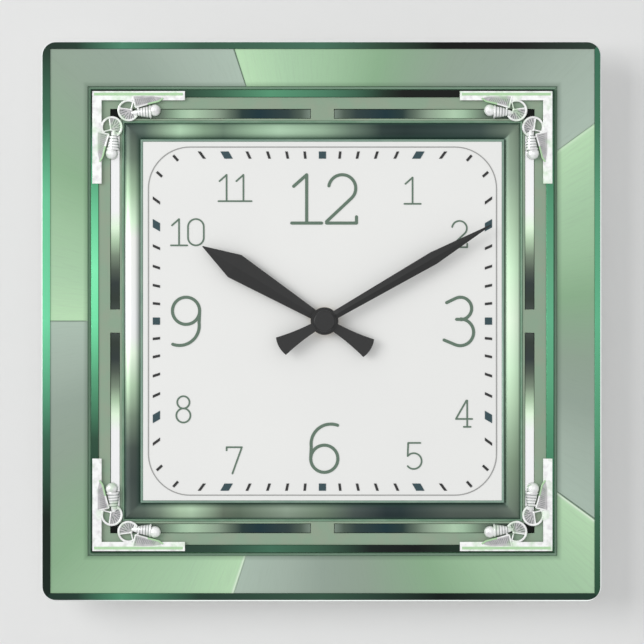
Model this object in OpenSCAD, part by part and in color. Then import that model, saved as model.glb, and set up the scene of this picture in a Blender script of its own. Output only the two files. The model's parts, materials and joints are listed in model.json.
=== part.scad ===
// Square wall clock: a layered acrylic and lacquered-metal front on a quartz movement.
// The front faces -Y and +Z is up. The wall is the plane y = 0, and the origin is the
// centre of the hanger's hole on the wall.

/* [Front] */
// Width and height of the acrylic panel
panel_size = 273; // [270:1:276]
// Thickness of the acrylic panel
panel_t = 4.8; // [3:0.1:6]
// Radius of the panel's corners
panel_corner_r = 7.2; // [4:0.1:9]
// How far the outline of the panel and rim is to the left of the middle of the dial
outline_shift = 0.5; // [0:0.1:1]
// Width of the panel's edge left showing outside the rim
panel_reveal = 0.7; // [0.4:0.1:1.5]
// Width of the dark outer rim
rim_w = 3.2; // [2:0.1:4]
// Height of the outer rim above the panel
rim_h = 2.0; // [1:0.1:3]
// Thickness of the brushed band plates
band_t = 1.4; // [0.8:0.1:1.8]
// Angle of the first seam of the brushed band, clockwise from 12
band_seam = 342; // [330:1:354]
// Height of the polished trim strip
trim_h = 3.4; // [2.4:0.1:4]
// Thickness of the slotted frame
frame_t = 2.8; // [2:0.1:3.2]
// Height of the polished moulding around the dial
moulding_h = 3.9; // [3.4:0.1:4.2]
// Thickness of the dial plate
dial_t = 4.0; // [3:0.1:4.5]
// How far the arbor's hole is to the right of the middle of the dial
arbor_shift = 1; // [0:0.1:1.5]

/* [Dial] */
// Height of the printed marks above the dial
mark_t = 0.2; // [0.1:0.05:0.4]
// Length of a minute dash
dash_len = 3.5; // [2:0.1:4]
// Thickness of a minute dash
dash_t = 1.2; // [0.8:0.1:1.6]
// Height of the numerals 12, 3, 6 and 9
numeral_big = 23.5; // [18:0.5:26]
// Stroke of the numerals 12, 3, 6 and 9
stroke_big = 1.5; // [1:0.1:2.5]
// Height of the other numerals
numeral_small = 12.8; // [9:0.1:15]
// Stroke of the other numerals
stroke_small = 0.8; // [0.5:0.1:1.4]

/* [Hands] */
// Length of the minute hand from the centre
minute_len = 93.2; // [80:0.1:95]
// Length of the hour hand from the centre
hour_len = 69.5; // [55:0.5:75]
// Length of the minute hand's tail
minute_tail = 25.3; // [18:0.1:28]
// Length of the hour hand's tail
hour_tail = 26.2; // [18:0.1:28]
// Minute hand's angle, clockwise from 12
minute_angle = 60; // [0:1:359]
// Hour hand's angle, clockwise from 12
hour_angle = 301.5; // [0:0.5:359.5]

/* [Movement] */
// Width and height of the movement
movement_size = 56; // [56:1:58]
// Depth of the movement
movement_t = 16; // [16:0.1:17]
// Height of the hanger's hole above the centre of the dial
hang_drop = 38; // [37:1:42]
// Radius of the hanger's hole
hanger_hole_r = 3.5; // [2.5:0.1:4]

/* [Hidden] */
$fn = 96;
eps = 0.01;

// Half-sizes of the nested square frames, from the outside in
panel_half = panel_size / 2;
rim_out = panel_half - panel_reveal;
rim_in = rim_out - rim_w;
band_in = rim_in - 18.3;
trim_in = band_in - 5.4;
frame_in = trim_in - 11.4;
fillet_in = frame_in - 1.2;
moulding_in = fillet_in - 7.9;
dial_half = moulding_in - 1.2;
rim_corner_r = panel_corner_r - panel_reveal;
slot_out = trim_in - 5.7;
slot_in = slot_out - 4.7;
slot_gap = 5.65;
bar_fit = 0.15;

// Depths in front of the wall
hanger_t = 1;
rubber_t = 0.8;
panel_d = movement_t + hanger_t + rubber_t;
face_d = panel_d + panel_t;
dial_d = face_d + dial_t;
washer_t = 0.6;
nut_t = 2.2;
nut_d = dial_d + washer_t;
bush_end = nut_d + nut_t + 0.4;
hour_hub_d = bush_end + 0.4;
hour_hub_t = 1.2;
minute_hub_d = hour_hub_d + hour_hub_t + 0.6;
minute_hub_t = 1.4;
cap_d = minute_hub_d + minute_hub_t;
cap_t = 1.8;
blade_t = 0.6;

// Dial layout
border_half = dial_half - 2.6;
border_r = 20.5;
border_w = 0.5;
track_half = dial_half - 6.5;
track_r = 16;
square_w = 3.5;

// Centre fixing and hand fits
bush_r = 4;
bush_fit = 0.1;
hour_tube_r = 2.6;
hour_seat_r = hour_tube_r - 0.1;
minute_arbor_r = 1.6;
slip_r = 1;
running_gap = 0.05;

// Movement inside
half_case = movement_size / 2;
case_wall = 1.4;
bay_top = -11.6;
rib_top = -10.2;
case_front = movement_t - case_wall;
cell_r = 7;
cell_z = (bay_top - half_case + case_wall + 0.1) / 2;
cell_d = cell_r + 0.6;
cover_t = 1.4;
pivot_r = 0.45;
pivot_hole_r = pivot_r + running_gap;
knob_pivot_r = 0.8;
mid_d = 7.4;
mid_t = 1;
board_d = mid_d + 0.6;
board_t = 1;
board_mid = 21.6;
contact_d = board_d + board_t;
contact_end = contact_d + 2;

// Depths of the pivots' ends, and where each wheel, pinion and the magnet starts
pivot_low = 1.2;
pivot_mid = mid_d + 0.8;
pivot_high = case_front + 0.6;
wheel_t = 0.6;
inter_pinion_d = 3;
seconds_wheel_d = 3.2;
magnet_d = 3.6;
seconds_pinion_d = 4.8;
third_wheel_d = 5;
rotor_pinion_d = 6.2;
inter_wheel_d = 6.4;
third_pinion_d = 9.2;
centre_wheel_d = 9.4;
cannon_d = 10.6;
motion_wheel_d = 10.8;
motion_pinion_d = 12.2;
hour_wheel_d = 12.4;

// Places of the arbors and the teeth they carry
motion_cd = 10;
motion_at = polar(motion_cd, 60);
knob_bearing = 35;
knob_at = motion_at + polar(motion_cd, knob_bearing);
third_cd = 10.2;
third_at = polar(third_cd, 150);
inter_cd = 7.2;
inter_at = polar(inter_cd, 20);
rotor_cd = 7;
rotor_at = inter_at + polar(rotor_cd, -10);
coil_x = 22.5;
coil_d = 4.8;
coil_half = 8.6;
stator_d = 4.4;
stator_t = 0.8;
cannon_teeth = 12;
motion_teeth = 36;
motion_pinion_teeth = 10;
hour_teeth = 40;
knob_teeth = 12;
centre_teeth = 60;
third_teeth = 64;
seconds_teeth = 40;
inter_teeth = 48;
pinion_teeth = 8;
pressure_angle = 28;

// Modules of the four kinds of mesh in the train
step_m = gear_module(rotor_cd, inter_teeth, pinion_teeth);
seconds_m = gear_module(inter_cd, seconds_teeth, pinion_teeth);
third_m = gear_module(third_cd, third_teeth, pinion_teeth);
centre_m = gear_module(third_cd, centre_teeth, pinion_teeth);
cannon_m = gear_module(motion_cd, cannon_teeth, motion_teeth);
hour_m = gear_module(motion_cd, hour_teeth, motion_pinion_teeth);
motion_phase = meshed(0, cannon_teeth, 60, motion_teeth);

// Colours
white = "#ebebe9";
dark_green = "#3f6451";
brushed_green = "#9bbf9a";
polished_green = "#569371";
sage = "#8fa58c";
pale_green = "#a6c9a6";
fillet_green = "#6c9076";
edge_green = "#789485";
ink = "#66756a";
silver = "#e6e6e6";
black_paint = "#343434";
brass = "#b8964a";
steel = "#a9adb0";
case_black = "#26282a";

function polar(r, a) = [r * cos(a), r * sin(a)];
function ring_arc(c, r, a0, a1, steps) = [for (i = [0:steps]) c + polar(r, a0 + (a1 - a0) * i / steps)];

// Involute teeth. A thinned tooth and a short tip leave backlash all round.
function gear_module(cd, a, b) = 2 * cd / (a + b);
function involute_deg(a) = (tan(a) - a * PI / 180) * 180 / PI;
function tooth_half(n, m, r) = let (base = n * m / 2 * cos(pressure_angle))
    81 / n + involute_deg(pressure_angle) - involute_deg(acos(min(1, base / r)));
function tooth_flank(n, m) = let (
        base = n * m / 2 * cos(pressure_angle),
        root = m * (n / 2 - 1.1),
        tip = m * (n / 2 + 0.85),
        low = max(base, root),
        steps = n > 30 ? 1 : 2)
    concat(
        root < base - eps ? [[root, tooth_half(n, m, base)]] : [],
        [for (i = [0:steps]) let (r = low + (tip - low) * i / steps) [r, tooth_half(n, m, r)]]);
function gear_points(n, m, phase) = let (flank = tooth_flank(n, m), last = len(flank) - 1)
    [for (k = [0:n - 1], side = [-1, 1], i = [0:last])
        let (p = flank[side < 0 ? i : last - i]) polar(p[0], phase + k * 360 / n + side * p[1])];
// Phase of a gear of b teeth that meshes, at angle a from it, with a gear of n teeth at a phase
function meshed(phase, n, a, b) = a + 180 + 360 / b * (0.5 + (a - phase) * n / 360);

// A flat piece: an outline seen from the front, t thick, with its back d in front of the wall
module plate(d, t) {
    translate([0, -d, -hang_drop]) rotate([90, 0, 0]) linear_extrude(t) children();
}

// A flat piece whose outline is centred on the middle of the dial
module front_plate(d, t) {
    translate([-arbor_shift, 0, 0]) plate(d, t) children();
}

module pin(at, d0, d1, r) {
    plate(d0, d1 - d0) translate(at) circle(r);
}

// A turned arbor. Each step is [first depth, last depth, radius].
module arbor(at, steps) {
    for (s = steps) pin(at, s[0], s[1], s[2]);
}

module gear(at, d, t, n, m, phase) {
    plate(d, t) translate(at) polygon(gear_points(n, m, phase));
}

// A box between two depths and two corners seen from the front
module block(low, high, d0, d1) {
    plate(d0, d1 - d0) translate(low) square(high - low);
}

module rounded_square(half, r) {
    square([2 * (half - r), 2 * half], center = true);
    square([2 * half, 2 * (half - r)], center = true);
    for (sx = [-1, 1], sy = [-1, 1]) translate([sx, sy] * (half - r)) circle(r);
}

module square_ring(out, in) {
    difference() {
        square(2 * out, center = true);
        square(2 * in, center = true);
    }
}

// A mitred square frame. Its profile's points are [half-size, height above the panel].
module mitred_frame(profile) {
    reach = panel_size;
    translate([-arbor_shift, -face_d, -hang_drop])
    for (side = [0:3]) rotate([0, 90 * side, 0]) intersection() {
        rotate([180, -90, 0]) linear_extrude(reach, center = true) polygon(profile);
        rotate([90, 0, 0]) linear_extrude(20) polygon([[0, 0], [reach, reach], [-reach, reach]]);
    }
}

// Front: panel and frames

module back_panel() {
    color(white) front_plate(panel_d, panel_t) difference() {
        translate([-outline_shift, 0]) rounded_square(panel_half, panel_corner_r);
        translate([arbor_shift, 0]) circle(bush_r + bush_fit);
    }
}

module outer_rim() {
    color(dark_green) front_plate(face_d, rim_h) difference() {
        translate([-outline_shift, 0]) rounded_square(rim_out, rim_corner_r);
        square(2 * rim_in, center = true);
    }
}

// One of five plates of the brushed band, cut by seams that point at the centre
module band_plate(index) {
    seam = 90 - band_seam - 72 * (index - 1);
    reach = panel_size;
    color(brushed_green) front_plate(face_d, band_t) intersection() {
        square_ring(rim_in, band_in);
        difference() {
            polygon([[0, 0], polar(reach, seam), polar(reach, seam - 36), polar(reach, seam - 72)]);
            rotate(seam) translate([0, -0.08]) square([reach, 0.16]);
        }
    }
}

module trim_strip() {
    groove = band_in - 1.2;
    color(polished_green) mitred_frame([[band_in, 0], [band_in, 0.4], [groove, 0.4],
        [groove - 0.7, trim_h], [trim_in + 0.2, trim_h], [trim_in, trim_h - 0.2], [trim_in, 0]]);
}

// The L-shaped slots leave a bridge at the middle of each side
module corner_slots(fit) {
    difference() {
        square_ring(slot_out - fit, slot_in + fit);
        square([2 * (slot_gap + fit), 2 * panel_half], center = true);
        square([2 * panel_half, 2 * (slot_gap + fit)], center = true);
    }
}

module slotted_frame() {
    color(sage) front_plate(face_d, frame_t) difference() {
        square_ring(trim_in, frame_in);
        corner_slots(0);
    }
}

module inlay_bars() {
    color(pale_green) front_plate(face_d, frame_t - 0.7) corner_slots(bar_fit);
}

module frame_fillet() {
    mid = (frame_in + fillet_in) / 2;
    color(fillet_green) mitred_frame(concat([[frame_in, 0]],
        ring_arc([mid, 2.6], frame_in - mid, 0, 180, 6), [[fillet_in, 0]]));
}

module inner_moulding() {
    mid = (fillet_in + moulding_in) / 2;
    rise = 1.3;
    half_w = (fillet_in - moulding_in) / 2;
    bow_r = (half_w * half_w + rise * rise) / (2 * rise);
    bow = asin(half_w / bow_r);
    color(polished_green) mitred_frame(concat([[fillet_in, 0]],
        ring_arc([mid, moulding_h - bow_r], bow_r, 90 - bow, 90 + bow, 12), [[moulding_in, 0]]));
}

module dial_edge() {
    top = dial_t + 0.3;
    color(edge_green) mitred_frame([[moulding_in, 0], [moulding_in, top - 0.3], [moulding_in - 0.3, top],
        [dial_half + 0.4, top], [dial_half, top - 0.4], [dial_half, 0]]);
}

// Dial and its marks

module dial_plate() {
    color(white) front_plate(face_d, dial_t) difference() {
        square(2 * dial_half, center = true);
        translate([arbor_shift, 0]) circle(bush_r + bush_fit);
    }
}

module dial_border_line() {
    color(ink) front_plate(dial_d, mark_t) difference() {
        rounded_square(border_half + border_w / 2, border_r);
        rounded_square(border_half - border_w / 2, border_r - border_w);
    }
}

// An angle clockwise from 12, measured from the middle of the nearest side of the track
function near_side(a) = a - 90 * round(a / 90);
function on_corner(a) = track_half * tan(abs(near_side(a))) > track_half - track_r + 2;

// A mark on a straight side: its flanks are radial and its ends follow the side
module side_mark(a, len, w) {
    t = near_side(a);
    rotate(-(a - t)) polygon([for (s = [[-1, -1], [-1, 1], [1, 1], [1, -1]])
        let (r = track_half + s[1] * len / 2) [r * tan(t) + s[0] * w / 2 / cos(t), r]]);
}

// A mark on a round corner, square to the ray that it stands on
module corner_mark(a, len, w) {
    side = near_side(a) > 0 ? 1 : -1;
    c = track_half - track_r;
    dx = sin(abs(near_side(a)));
    dz = cos(abs(near_side(a)));
    along = c * (dx + dz);
    reach = along + sqrt(along * along - 2 * c * c + track_r * track_r);
    rotate(-(a - near_side(a))) rotate(-near_side(a)) translate([0, reach])
        square([w, len], center = true);
}

module minute_dashes() {
    color("#2a2a2a") front_plate(dial_d, mark_t) for (k = [0:59]) if (k % 5 != 0) {
        if (on_corner(6 * k)) corner_mark(6 * k, dash_len, dash_t);
        else side_mark(6 * k, dash_len, dash_t);
    }
}

module hour_squares() {
    color("#3f5a5a") front_plate(dial_d, mark_t) for (k = [0:11]) side_mark(30 * k, dash_len, square_w);
}

// Numerals: round-ended strokes of width w, in a cell h high that is centred on the origin.
// The round ends are a hair narrower than the stroke.
end_share = 0.485;

module stroke(a, b, w) {
    along = b - a;
    translate(a) rotate(atan2(along[1], along[0])) translate([0, -w / 2]) square([norm(along), w]);
    for (at = [a, b]) translate(at) circle(end_share * w);
}

// An arc from a0 anticlockwise to a1, up to 180 degrees long
module bend(c, r, a0, a1, w) {
    reach = 3 * r;
    translate(c) intersection() {
        difference() {
            circle(r + w / 2);
            circle(r - w / 2);
        }
        polygon(concat([[0, 0]], [for (i = [0:4]) polar(reach, a0 + (a1 - a0) * i / 4)]));
    }
}

module round_end(c, r, a, w) {
    translate(c + polar(r, a)) circle(end_share * w);
}

module digit_0(h, w) {
    r = 0.3 * h;
    for (s = [-1, 1]) {
        bend([0, s * 0.2 * h], r, s > 0 ? 0 : 180, s > 0 ? 180 : 360, w);
        stroke([s * r, -0.2 * h], [s * r, 0.2 * h], w);
    }
}

module digit_1(h, w) {
    stroke([-0.27, 0.26] * h, [0, 0.5] * h, w);
    stroke([0, 0.5] * h, [0, -0.5] * h, w);
    stroke([-0.31, -0.5] * h, [0.31, -0.5] * h, w);
}

module digit_2(h, w) {
    c = [0.015, 0.22] * h;
    r = 0.28 * h;
    bend(c, r, -45, 90, w);
    bend(c, r, 90, 170, w);
    round_end(c, r, 170, w);
    stroke(c + polar(r, -45), [-0.31, -0.47] * h, w);
    stroke([-0.31, -0.5] * h, [0.31, -0.5] * h, w);
    stroke([0.31, -0.5] * h, [0.31, -0.37] * h, w);
}

module digit_3(h, w) {
    high = [0.02, 0.27] * h;
    low = [0.016, -0.223] * h;
    bend(high, 0.232 * h, -90, 20, w);
    bend(high, 0.232 * h, 20, 115, w);
    stroke(high + polar(0.232 * h, 115), [-0.266, 0.39] * h, w);
    bend(low, 0.277 * h, -110, 0, w);
    bend(low, 0.277 * h, 0, 90, w);
    stroke(low + polar(0.277 * h, -110), [-0.318, -0.383] * h, w);
    stroke([-0.06, 0.045] * h, [0.02, 0.045] * h, w);
}

module digit_4(h, w) {
    stroke([0.1, 0.5] * h, [-0.3, -0.2] * h, w);
    stroke([-0.3, -0.2] * h, [0.32, -0.2] * h, w);
    stroke([0.13, 0.5] * h, [0.13, -0.5] * h, w);
    stroke([0, -0.5] * h, [0.26, -0.5] * h, w);
}

module digit_5(h, w) {
    c = [-0.01, -0.19] * h;
    r = 0.3 * h;
    stroke([-0.22, 0.5] * h, [0.24, 0.5] * h, w);
    stroke([-0.22, 0.5] * h, [-0.24, 0.0] * h, w);
    bend(c, r, 0, 140, w);
    bend(c, r, -140, 0, w);
    round_end(c, r, -140, w);
    round_end(c, r, 140, w);
}

module digit_7(h, w) {
    stroke([-0.28, 0.5] * h, [0.3, 0.5] * h, w);
    stroke([-0.28, 0.5] * h, [-0.28, 0.38] * h, w);
    stroke([0.3, 0.5] * h, [-0.06, -0.5] * h, w);
}

module digit_8(h, w) {
    for (s = [[0.268, 0.232], [-0.232, 0.268]]) translate([0, s[0] * h]) difference() {
        circle(s[1] * h + w / 2);
        circle(s[1] * h - w / 2);
    }
}

module digit_9(h, w) {
    bowl = [0, 0.213] * h;
    tail = [-0.136, -0.095] * h;
    translate(bowl) difference() {
        circle(0.281 * h + w / 2);
        circle(0.281 * h - w / 2);
    }
    stroke(bowl + polar(0.281 * h, 0), tail + polar(0.409 * h, 8), w);
    bend(tail, 0.409 * h, -110, 8, w);
    round_end(tail, 0.409 * h, -110, w);
}

module digit(n, h, w) {
    if (n == 0) digit_0(h, w);
    if (n == 1) digit_1(h, w);
    if (n == 2) digit_2(h, w);
    if (n == 3) digit_3(h, w);
    if (n == 4) digit_4(h, w);
    if (n == 5) digit_5(h, w);
    if (n == 6) rotate(180) digit_9(h, w);
    if (n == 7) digit_7(h, w);
    if (n == 8) digit_8(h, w);
    if (n == 9) digit_9(h, w);
}

// Digits and place on the dial for each hour, and pitch between two digits as a share of their height
big_numerals = [[[1, 2], [0.8, 59.4]], [[3], [66.6, -0.2]], [[6], [0.9, -61.9]], [[9], [-66.3, 0]]];
small_numerals = [[[1], [43.8, 63.4]], [[2], [66.4, 42.3]], [[4], [68.7, -45]], [[5], [44.5, -65.6]],
    [[7], [-43, -67.7]], [[8], [-67.6, -42.9]], [[1, 0], [-65.6, 43.2]], [[1, 1], [-42.5, 64.7]]];
big_pitch = 0.72;
small_pitch = 0.64;

module numeral(digits, at, h, w, pitch) {
    for (i = [0:len(digits) - 1]) translate(at + [pitch * (i - (len(digits) - 1) / 2), 0])
        digit(digits[i], h, w);
}

module hour_numerals() {
    color(ink) front_plate(dial_d, mark_t) {
        for (item = big_numerals) numeral(item[0], item[1], numeral_big, stroke_big, big_pitch * numeral_big);
        for (item = small_numerals)
            numeral(item[0], item[1], numeral_small, stroke_small, small_pitch * numeral_small);
    }
}

// A corner bracket, drawn for the top right corner and mirrored by sx and sz: an L-shaped
// strip with a fan, a ribbed pod, a ball and a leaf on each side of the diagonal
module corner_bracket(sx, sz) {
    corner = band_in - 2.5;
    arm = 45;
    strip_w = 4.5;
    base = face_d + trim_h;
    fan = [94, 101.5];
    pod = [[92, 97.6], [83, 100.6], [83, 105.2], [93, 106.6]];
    leaf = [[92, 104], [84, 105], [80, 107.6], [98, 107.6]];
    ball = [82, 0, 103];
    color(silver) translate([-arbor_shift, 0, -hang_drop]) scale([sx, 1, sz]) translate([0, 0, hang_drop]) {
        plate(base, 1) difference() {
            translate([corner - arm, corner - arm]) square(arm);
            translate([corner - arm - 1, corner - arm - 1]) square(arm - strip_w + 1);
        }
        for (swap = [0, 1]) plate(base, 1.6) mirror([swap, -swap]) {
            translate(fan) circle(5.2);
            polygon(pod);
            polygon(leaf);
        }
        for (swap = [0, 1]) translate([0, -base - 1.9, -hang_drop]) mirror([swap, 0, -swap])
            translate(ball) sphere(2.4);
    }
}
module corner_bracket_top_left() { corner_bracket(-1, 1); }
module corner_bracket_top_right() { corner_bracket(1, 1); }
module corner_bracket_bottom_left() { corner_bracket(-1, -1); }
module corner_bracket_bottom_right() { corner_bracket(1, -1); }

// Centre fixing

module rubber_washer() {
    color("#1f1f1f") plate(panel_d - rubber_t, rubber_t) difference() {
        circle(8.5);
        circle(bush_r + bush_fit);
    }
}

module brass_washer() {
    color(brass) plate(dial_d, washer_t) difference() {
        circle(6.3);
        circle(bush_r + bush_fit);
    }
}

module hex_nut() {
    color(brass) plate(nut_d, nut_t) difference() {
        circle(6.35, $fn = 6);
        circle(bush_r);
    }
}

// Hands: outlines point up the page and are turned to their angle

// The tail widens as the square of the distance and ends in an arc
function tail_half(y) = 2 + 3 * pow(y / 25, 2);

module hand_tail(len) {
    end_r = 12.5;
    steps = 8;
    right = [for (i = [0:steps]) let (y = len * i / steps) [tail_half(y), -y]];
    left = [for (i = [steps:-1:0]) [-right[i][0], right[i][1]]];
    intersection() {
        translate([0, end_r - len]) circle(end_r);
        polygon(concat(right, left));
    }
}

module hand_outline(len, shoulder, half_w, neck, tail) {
    tip_w = 0.25;
    polygon([[neck, 0], [half_w, shoulder], [tip_w, len - 0.3], [0, len], [-tip_w, len - 0.3],
        [-half_w, shoulder], [-neck, 0]]);
    hand_tail(tail);
}

module hour_hand() {
    color(black_paint) {
        plate(hour_hub_d + 0.3, blade_t) rotate(-hour_angle) difference() {
            hand_outline(hour_len, 51, 6.3, 1.9, hour_tail);
            circle(6);
        }
        plate(hour_hub_d, hour_hub_t) difference() {
            circle(6.7);
            circle(hour_seat_r);
        }
    }
}

module minute_hand() {
    color(black_paint) {
        plate(minute_hub_d + 0.4, blade_t) rotate(-minute_angle) difference() {
            hand_outline(minute_len, 61, 3.2, 1.9, minute_tail);
            circle(5);
        }
        plate(minute_hub_d, minute_hub_t) difference() {
            circle(5.9);
            circle(minute_arbor_r);
        }
    }
}

module hand_cap() {
    color(black_paint) difference() {
        plate(cap_d, cap_t) circle(5.15);
        plate(cap_d - 1, 1.8) circle(minute_arbor_r);
    }
}

// Movement

module movement_case() {
    inner = half_case - case_wall;
    posts = [[-17, -7.5], [17, -7.5], [-17, 12.5], [16.8, 5.5]];
    color(case_black) difference() {
        union() {
            difference() {
                plate(0, movement_t) rounded_square(half_case, 4);
                block([-inner, rib_top], [inner, inner], -1, case_front);
                block([-inner, -inner], [inner, bay_top], -1, case_front + 0.2);
                for (s = [-1, 1]) block([s * (inner - 0.4) - 0.4, bay_top - 1],
                    [s * (inner - 0.4) + 0.4, rib_top + 1], contact_d - 0.1, contact_end + 0.1);
            }
            pin([0, 0], case_front, bush_end, bush_r);
            for (p = posts) pin(p, mid_d + mid_t, case_front + eps, 1.5);
            for (s = [-1, 1]) pin([20 * s, 21], board_d + board_t, case_front + eps, 1.2);
        }
        pin([0, 0], case_front - 1, bush_end + 1, hour_tube_r + running_gap);
        for (p = [motion_at, third_at]) pin(p, case_front - 1, case_front + 1, pivot_hole_r);
        pin(knob_at, case_front - 1, case_front + 1, knob_pivot_r + running_gap);
    }
}

module movement_cover() {
    inner = half_case - case_wall - 0.2;
    color(case_black) difference() {
        union() {
            block([-inner, rib_top + 0.2], [inner, inner], 0, cover_t);
            for (p = [[0, 0], third_at, inter_at, rotor_at]) pin(p, cover_t - eps, cover_t + 1.2, 1.4);
        }
        pin(knob_at, -1, cover_t + 1, 6);
        for (p = [[0, 0], third_at, inter_at, rotor_at]) pin(p, 1, cover_t + 2, pivot_hole_r);
    }
}

// Bent sheet: one leg clamped under the panel, a shelf over the movement, and a tab on the wall
module wall_hanger() {
    half_w = 9;
    shelf = half_case + 0.2;
    color(steel) difference() {
        union() {
            block([-half_w, -half_w], [half_w, shelf + hanger_t], movement_t, movement_t + hanger_t);
            block([-half_w, shelf], [half_w, shelf + hanger_t], 0, movement_t + hanger_t);
            plate(0, hanger_t) {
                translate([-half_w, shelf]) square([2 * half_w, hang_drop - shelf]);
                translate([0, hang_drop]) circle(half_w);
            }
        }
        pin([0, 0], movement_t - 1, movement_t + 2, bush_r + bush_fit);
        pin([0, hang_drop], -1, hanger_t + 1, hanger_hole_r);
    }
}

module middle_plate() {
    color("#d8d8d2") plate(mid_d, mid_t) difference() {
        translate([-20, -9.4]) square([38.4, 26.2]);
        circle(pivot_hole_r);
        translate(motion_at) circle(pivot_hole_r);
        translate(inter_at) circle(pivot_hole_r);
        translate(rotor_at) circle(pivot_hole_r);
        translate(third_at) circle(0.6 + running_gap);
        translate(knob_at) circle(1.6);
    }
}

module circuit_board() {
    size = [48, 8.8];
    color("#2f6b43") plate(board_d, board_t) translate([-size[0] / 2, board_mid - size[1] / 2]) square(size);
}

module driver_chip() {
    color("#1a1a1a") pin([4, board_mid], board_d + board_t, board_d + board_t + 0.8, 2.4);
}

module quartz_crystal() {
    can_r = 1;
    can_d = board_d + board_t + can_r + running_gap;
    color(silver) translate([-14, -can_d, board_mid - hang_drop]) rotate([0, 90, 0])
        cylinder(h = 6, r = can_r);
}

// Coil on a core along z: flanges, and the winding between them
module along_coil(z0, z1) {
    translate([coil_x, -coil_d, z0 - hang_drop]) linear_extrude(z1 - z0) children();
}

module coil_bobbin() {
    color("#c9c5b8") difference() {
        union() {
            for (s = [-1, 1]) along_coil(s * coil_half - 0.5, s * coil_half + 0.5) circle(3.2);
            along_coil(-coil_half, coil_half) circle(2);
        }
        along_coil(-coil_half - 1, coil_half + 1) square([2.4, stator_t], center = true);
    }
}

module coil_winding() {
    color("#a5562c") along_coil(-coil_half + 0.5, coil_half - 0.5) difference() {
        circle(3.1);
        circle(2);
    }
}

module stator() {
    flange = coil_half + 0.5;
    yoke = flange + 1;
    color(steel) plate(stator_d, stator_t) difference() {
        union() {
            translate(rotor_at) circle(4.9);
            translate([coil_x - 1.2, -yoke]) square([2.4, 2 * yoke]);
            for (s = [-1, 1]) {
                polygon([[15.5, s * yoke], [18.6, s * yoke], [18.2, s + 1], [13.7, s + 1]]);
                translate([15.5, s * (flange + 0.5) - 0.5]) square([coil_x + 1.2 - 15.5, 1]);
            }
        }
        translate(rotor_at) circle(3.4);
    }
}

module rotor() {
    magnet_end = 5.8;
    pinion_end = rotor_pinion_d + 0.9;
    color("#4a4d52") {
        arbor(rotor_at, [[pivot_low, magnet_d, pivot_r], [magnet_d, magnet_end, 2.9],
            [magnet_end, rotor_pinion_d, 0.8], [pinion_end, pivot_mid, pivot_r]]);
        gear(rotor_at, rotor_pinion_d, 0.9, pinion_teeth, step_m, meshed(0, inter_teeth, -10, pinion_teeth));
    }
}

module intermediate_wheel() {
    pinion_t = 1;
    color(brass) {
        gear(inter_at, inter_wheel_d, wheel_t, inter_teeth, step_m, 0);
        gear(inter_at, inter_pinion_d, pinion_t, pinion_teeth, seconds_m,
            meshed(0, seconds_teeth, 20, pinion_teeth));
        arbor(inter_at, [[pivot_low, inter_pinion_d, pivot_r],
            [inter_pinion_d + pinion_t, inter_wheel_d, 0.7], [inter_wheel_d + wheel_t, pivot_mid, pivot_r]]);
    }
}

module seconds_wheel() {
    pinion_t = 1.1;
    neck_end = 7.2;
    color(brass) {
        gear([0, 0], seconds_wheel_d, wheel_t, seconds_teeth, seconds_m, 0);
        gear([0, 0], seconds_pinion_d, pinion_t, pinion_teeth, third_m, 0);
        arbor([0, 0], [[pivot_low, seconds_wheel_d, pivot_r],
            [seconds_wheel_d + wheel_t, seconds_pinion_d, 0.7],
            [seconds_pinion_d + pinion_t, neck_end, 0.6], [neck_end, neck_end + 0.5, pivot_r]]);
    }
}

module third_wheel() {
    pinion_t = 1.2;
    color(brass) {
        gear(third_at, third_wheel_d, wheel_t, third_teeth, third_m,
            meshed(0, pinion_teeth, 150, third_teeth));
        gear(third_at, third_pinion_d, pinion_t, pinion_teeth, centre_m,
            meshed(0, centre_teeth, 150, pinion_teeth));
        arbor(third_at, [[pivot_low, third_wheel_d, pivot_r], [third_wheel_d + wheel_t, third_pinion_d, 0.6],
            [third_pinion_d + pinion_t, pivot_high, pivot_r]]);
    }
}

// The centre wheel sits on the minute arbor with a slipping fit, so that the hands can be set
module centre_wheel() {
    color(brass) difference() {
        union() {
            gear([0, 0], centre_wheel_d, 0.8, centre_teeth, centre_m, 0);
            pin([0, 0], centre_wheel_d - 0.2, centre_wheel_d + 1, 1.9);
        }
        pin([0, 0], centre_wheel_d - 1, centre_wheel_d + 2, slip_r + running_gap);
    }
}

module minute_arbor() {
    pinion_end = cannon_d + 1.4;
    neck_start = 9;
    color(steel) {
        gear([0, 0], cannon_d, pinion_end - cannon_d, cannon_teeth, cannon_m, 0);
        arbor([0, 0], [[neck_start - 1, neck_start, pivot_r], [neck_start, cannon_d, slip_r],
            [pinion_end, cap_d + 0.6, minute_arbor_r]]);
    }
}

module motion_wheel() {
    wheel_end = motion_wheel_d + 0.8;
    pinion_end = motion_pinion_d + 1.4;
    color(brass) {
        gear(motion_at, motion_wheel_d, wheel_end - motion_wheel_d, motion_teeth, cannon_m, motion_phase);
        gear(motion_at, motion_pinion_d, pinion_end - motion_pinion_d, motion_pinion_teeth, hour_m,
            meshed(0, hour_teeth, 60, motion_pinion_teeth));
        arbor(motion_at, [[mid_d + 0.2, motion_wheel_d, pivot_r], [wheel_end, motion_pinion_d, 0.9],
            [pinion_end, pivot_high, pivot_r]]);
    }
}

module hour_wheel() {
    wheel_end = hour_wheel_d + 1;
    shoulder_end = wheel_end + 1;
    color(brass) difference() {
        union() {
            gear([0, 0], hour_wheel_d, wheel_end - hour_wheel_d, hour_teeth, hour_m, 0);
            arbor([0, 0], [[wheel_end, shoulder_end, 3.6], [shoulder_end, hour_hub_d, hour_tube_r],
                [hour_hub_d, hour_hub_d + hour_hub_t, hour_seat_r]]);
        }
        pin([0, 0], hour_wheel_d - 1, hour_hub_d + 3, minute_arbor_r + running_gap);
    }
}

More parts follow.
